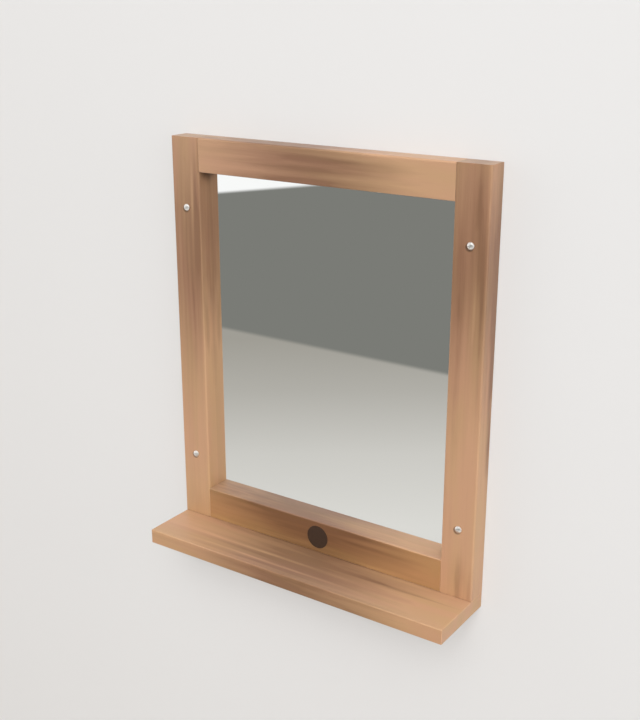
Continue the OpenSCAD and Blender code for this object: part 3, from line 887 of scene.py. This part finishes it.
def hardboard():
    """Tempered hardboard: felted brown fibres, with the press's screen pattern of its rough side."""
    made, w, skin, place = new_material("hardboard_brown", (0.27, 0.155, 0.08), **{"Specular IOR Level": 0.3})
    flakes = w.noise(place, 420.0, detail=5.0, rough=0.65)
    clouds = w.noise(place, 14.0)
    fibres = w.ramp(w.noise(place, 1500.0, stretch=(1, 1, 0.3)), 0.55, 0.8)
    tone = w.line(w.ramp(flakes, 0.3, 0.7), 0.55, w.times(w.ramp(clouds, 0.3, 0.7), 0.35))
    brown = w.blend(tone, (0.33, 0.195, 0.105), (0.18, 0.098, 0.048))
    w.feed_all(skin, {"Base Color": w.blend(w.times(fibres, 0.35), brown, (0.42, 0.27, 0.16)),
                      "Roughness": w.line(flakes, 0.25, 0.5)})
    screen_turns = 2100     # radians to a metre of the press's wire screen
    spot = w.split(w.vector("MULTIPLY", place, (screen_turns, 1, screen_turns)))
    marks = w.times(w.math("SINE", spot["X"]), w.math("SINE", spot["Z"]))
    bumped(w, skin, w.line(marks, 0.5, flakes), 0.5, 0.15 * MM)
    return made


def make_back():
    """Packing sheet, setting pads and hardboard panel, each a thin board with eased edges."""
    foam = small_part("packing_foam", (0.66, 0.66, 0.62), 0.7, 0.25, 0.1, mottle_scale=900.0,
                      bump=(0.5, 0.1 * MM))
    sheet = mesh_from(thin_board(*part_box("packing_sheet"), 0.25 * MM, 0.2 * MM), "packing_foam_sheet")
    sheet = shaded(sheet, "packing_foam_sheet", foam, 50)
    as_piece("packing_foam_sheet", sheet, "packing_foam", "packing_sheet")

    rubber = small_part("pad_rubber", (0.035, 0.035, 0.035), 0.6, 0.3, 0.15, mottle_scale=800.0)
    low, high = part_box("setting_pads")
    pads = bmesh.new()
    for start in (low.x, high.x - PAD_LENGTH):
        corners = Vector((start, low.y, low.z)), Vector((start + PAD_LENGTH, high.y, high.z))
        pads.from_mesh(mesh_from(thin_board(*corners, 0.2 * MM, 0.2 * MM, along=0), "pad"))
    mesh = shaded(mesh_from(pads, "rubber_pads"), "rubber_pads", rubber, 50)
    as_piece("rubber_pads", mesh, "pad_rubber", "setting_pads")

    bores = bmesh.new()
    for x, z in panel_screw_places():
        add_bore(bores, (x, PANEL_LOW.y - OVERRUN, z), (x, PANEL_HIGH.y + OVERRUN, z), PANEL_SCREW_HOLE,
                 sides=24)
    blank = thin_board(PANEL_LOW, PANEL_HIGH, 0.3 * MM, 0.3 * MM)
    mesh = cut_and_finish(blank, "hardboard_back", [bores], hardboard())
    as_piece("hardboard_back", mesh, "hardboard", "back_panel")


def make_disc():
    """Plain dark disc let into the bottom rail: a turned face inside a soft rim, left bare."""
    top = DISC_HIGH.y - DISC_LOW.y
    face = top - 0.12 * MM      # the face lies a little below the rim
    points = [(0, 0), (DISC_RADIUS, 0), (DISC_RADIUS, top - 0.4 * MM), (DISC_RADIUS - 0.12 * MM, face),
              (DISC_RADIUS - 0.4 * MM, top), (DISC_RADIUS - 1.0 * MM, top), (DISC_RADIUS - 1.3 * MM, face)]
    points = drawn_on(points, (0, face, 6))
    turning_step = 0.35 * MM
    made, w, skin, place = new_material("disc_umber", (0.048, 0.026, 0.014), **{"Specular IOR Level": 0.2})
    from_middle = w.vector("MULTIPLY", w.vector("SUBTRACT", place, (0, 0, DISC_MID)), (1, 0, 1))
    wear = w.group(WEAR, {"Vector": place, "Mottle Scale": 260.0, "Scratch Scale": 1200.0}).outputs
    turns = w.times(w.vector("LENGTH", from_middle), math.tau / turning_step)
    marks = w.line(w.math("SINE", turns), 0.5, 0.5)
    mottled = w.ramp(wear["Mottle"], 0.35, 0.75, 0.0, 0.5)
    w.feed_all(skin, {"Base Color": w.blend(mottled, (0.054, 0.031, 0.020), (0.04, 0.023, 0.015)),
                      "Roughness": w.line(wear["Scratches"], 0.15, 0.42)})
    bumped(w, skin, w.line(marks, 0.4, wear["Mottle"]), 0.2, 0.04 * MM)
    grid = dict(columns=1, rows=1, middle=(0, DISC_HIGH.y, DISC_MID), point_turn=OUT_OF_WALL)
    turned_piece("plain_disc", "disc_dark", "rail_disc", points, [grid], made, sides=128)


# ---- the plain room that the part is shown in ----

WALL_GAP = 0.6 * MM       # from the frame's back to the wall, so that they don't touch
WALL_HALF, WALL_TOP = 4.5, 3.5
FLOOR_Z = -1.9
EVEN_LIGHT = 0.11         # the room's light from where no glow is
PALE_ROOM = 0.8           # the room as it is seen, directly or in metal
# each glow: the way to it, how narrow it is and its strength
ROOM_GLOWS = (((0.34, -0.73, 0.59), 24.0, 10.6), ((1, -0.25, 0.1), 8.0, 2.15), ((-1, -0.25, 0.1), 8.0, 2.05),
              ((0, -0.3, 1), 8.0, 0.6), ((0, 1, 0.3), 3.0, 1.5))
MIRROR_VIEW_Y = -2.6
HAZE_TOP = -0.997         # height at which the grey ends and the haze begins
HAZE_LEFT = -1.715
HAZE_LEAN, HAZE_FAN = -0.06, -0.123
# how the haze brightens below its top: from, to and share
HAZE_STEPS = ((-0.05, 0.19, 0.25), (0.19, 0.49, 0.46), (0.49, 0.85, 0.29))
SILL_X, SILL_Z, SILL_SLOPE = -2.318, -0.370, 0.159
WINDOW_RIGHT = -1.0
CAMERA_PLACE = (0.814598, -1.224534, 0.486114)
CAMERA_TURN = (71.50252, 0.00289, 34.18769)
LENS = 55.2335            # for a picture 36 mm high


def stage_plane(name, corners, material, **sight):
    """Staging from four-cornered faces. Each named ray sees it or not."""
    mesh = bpy.data.meshes.new(name)
    mesh.from_pydata(corners, [], [tuple(range(i, i + 4)) for i in range(0, len(corners), 4)])
    mesh.materials.append(material)
    plane = linked_object(name, mesh)
    for ray, seen in sight.items():
        setattr(plane, "visible_" + ray, seen)


def make_wall():
    """Pale wall just behind the part, open where the frame covers it and clear when seen from behind."""
    made, w, skin, place = new_material("pale_wall", (0.42, 0.415, 0.4), Roughness=0.9, **{
        "Specular IOR Level": 0.1, "Emission Strength": 1.0})
    clouds = w.noise(place, 1.3)
    # painted light: the wall glows by itself as well as taking light, which weakens the part's shadows on it,
    # and it glows a little more towards the upper right
    rise = w.ramp(w.vector("DOT_PRODUCT", place, (0.45, 0, 0.8)), -1.6, 1.6)
    w.feed_all(skin, {
        "Base Color": w.blend(w.ramp(clouds, 0.3, 0.7), (0.434, 0.425, 0.416), (0.442, 0.433, 0.424)),
        "Roughness": w.ramp(clouds, 0.3, 0.7, 0.85, 0.95),
        "Emission Color": w.blend(rise, (0.262, 0.249, 0.236), (0.434, 0.434, 0.436))})
    behind = w.add("ShaderNodeNewGeometry").outputs["Backfacing"]
    surface_of_two(w, behind, w.tree.nodes["Principled BSDF"], w.add("ShaderNodeBsdfTransparent"))
    left, right = SHELF_LOW.x + 3 * MM, SHELF_HIGH.x - 3 * MM
    low, high = SHELF_LOW.z + 2.5 * MM, TOP_HIGH.z - 2.5 * MM
    corners = []
    for x0, x1, z0, z1 in ((-WALL_HALF, left, FLOOR_Z, WALL_TOP), (right, WALL_HALF, FLOOR_Z, WALL_TOP),
                           (left, right, FLOOR_Z, low), (left, right, high, WALL_TOP)):
        corners += [(x0, WALL_GAP, z0), (x1, WALL_GAP, z0), (x1, WALL_GAP, z1), (x0, WALL_GAP, z1)]
    stage_plane("wall", corners, made)


def make_floor():
    made, w, skin, place = new_material("pale_floor", (0.8, 0.79, 0.77), Roughness=0.8)
    clouds = w.ramp(w.noise(place, 0.8), 0.3, 0.7)
    w.feed(skin["Base Color"], w.blend(clouds, (0.79, 0.78, 0.76), (0.82, 0.81, 0.79)))
    # light that the floor sends back up is held low, as a deep room would
    plain_to_bounced_light(w, (0.35, 0.345, 0.335))
    side, front, back = 6, -6, 4
    corners = [(-side, front, FLOOR_Z), (side, front, FLOOR_Z), (side, back, FLOOR_Z), (-side, back, FLOOR_Z)]
    stage_plane("floor", corners, made)


def make_mirror_view():
    """What the mirror faces: a still grey above, a pale haze that brightens downwards, and a bright window
    high on the left. Only gloss sees it, so that it neither lights nor shades the part."""
    made = bpy.data.materials.new("mirror_view")
    made.use_nodes = True
    w = Wiring(made.node_tree)
    w.tree.nodes.remove(w.tree.nodes["Principled BSDF"])
    spot = w.split(w.add("ShaderNodeTexCoord").outputs["Object"])
    # the haze brightens along lines that fan out a little to the right
    right = w.minus(spot["X"], HAZE_LEFT)
    level = w.over(w.line(right, HAZE_LEAN, spot["Z"]), w.line(right, HAZE_FAN, 1.0))
    brightening = 0.0
    for start, end, share in HAZE_STEPS:
        step = w.add("ShaderNodeMapRange", {"Value": level, "From Min": HAZE_TOP - start,
                                            "From Max": HAZE_TOP - end, "To Max": share})
        brightening = w.plus(step, brightening)
    haze = w.blend(brightening, (0.374, 0.356, 0.32), (0.745, 0.73, 0.70))
    shade = w.blend(w.ramp(spot["Z"], HAZE_TOP + 0.012, HAZE_TOP - 0.012), (0.207, 0.2095, 0.1925), haze)
    above_sill = w.minus(spot["Z"], w.line(w.minus(spot["X"], SILL_X), SILL_SLOPE, SILL_Z))
    left_of_side = w.ramp(spot["X"], WINDOW_RIGHT + 0.1, WINDOW_RIGHT - 0.1)
    window = w.times(w.ramp(above_sill, -0.008, 0.01), left_of_side)
    light = w.add("ShaderNodeEmission", {"Color": w.blend(window, shade, (1.0, 1.0, 1.0)), "Strength": 1.0})
    lighting = w.math("GREATER_THAN", w.add("ShaderNodeLightPath").outputs["Diffuse Depth"], 0.5)
    surface_of_two(w, lighting, light, w.add("ShaderNodeBsdfTransparent"))
    y, side, top = MIRROR_VIEW_Y, 6.0, 2.2
    corners = [(side, y, FLOOR_Z), (-side, y, FLOOR_Z), (-side, y, top), (side, y, top)]
    stage_plane("mirror_view", corners, made, camera=False, diffuse=False, transmission=False, shadow=False)


def make_light():
    """A soft white room: a wide glow high in front, softer ones on either side, and even light all round.
    What is seen directly or in metal is plain and pale."""
    world = bpy.data.worlds.new("soft_room")
    bpy.context.scene.world = world
    world.use_nodes = True
    w = Wiring(world.node_tree)
    way = w.add("ShaderNodeTexCoord").outputs["Generated"]
    ray = w.add("ShaderNodeLightPath").outputs
    glows = 0.0
    for place, narrowness, strength in ROOM_GLOWS:
        facing = w.math("MAXIMUM", w.vector("DOT_PRODUCT", way, Vector(place).normalized()), 0.0)
        glows = w.line(w.math("POWER", facing, narrowness), strength, glows)
    even = w.line(ray["Is Glossy Ray"], PALE_ROOM - EVEN_LIGHT, EVEN_LIGHT)
    # gloss sees the glows dimmed, so that rounded edges and screw heads don't glare
    light = w.line(glows, w.line(ray["Is Glossy Ray"], -0.55, 1.0), even)
    seen = w.line(ray["Is Camera Ray"], w.minus(PALE_ROOM, light), light)
    w.feed_all(world.node_tree.nodes["Background"].inputs, {"Strength": seen, "Color": (1.0, 1.0, 1.0)})


def make_camera():
    lens = bpy.data.cameras.new("camera")
    lens.sensor_fit, lens.sensor_height, lens.lens = "VERTICAL", 36.0, LENS
    lens.clip_start, lens.clip_end = 0.05, 50
    camera = linked_object("camera", lens)
    camera.location = CAMERA_PLACE
    camera.rotation_euler = [math.radians(angle) for angle in CAMERA_TURN]
    bpy.context.scene.camera = camera


ZINC = small_part("zinc_plate", (0.56, 0.56, 0.53), 0.3, 0.3, 0.2, mottle_scale=700.0, Metallic=1.0)
make_camera()
make_frame_boards()
make_shelf()
make_wall_screws()
make_panel_screws(ZINC)
make_shelf_screws(ZINC)
make_dowels()
make_pane()
make_back()
make_disc()
make_wall()
make_floor()
make_mirror_view()
make_light()
bpy.context.scene.view_settings.view_transform = "Standard"
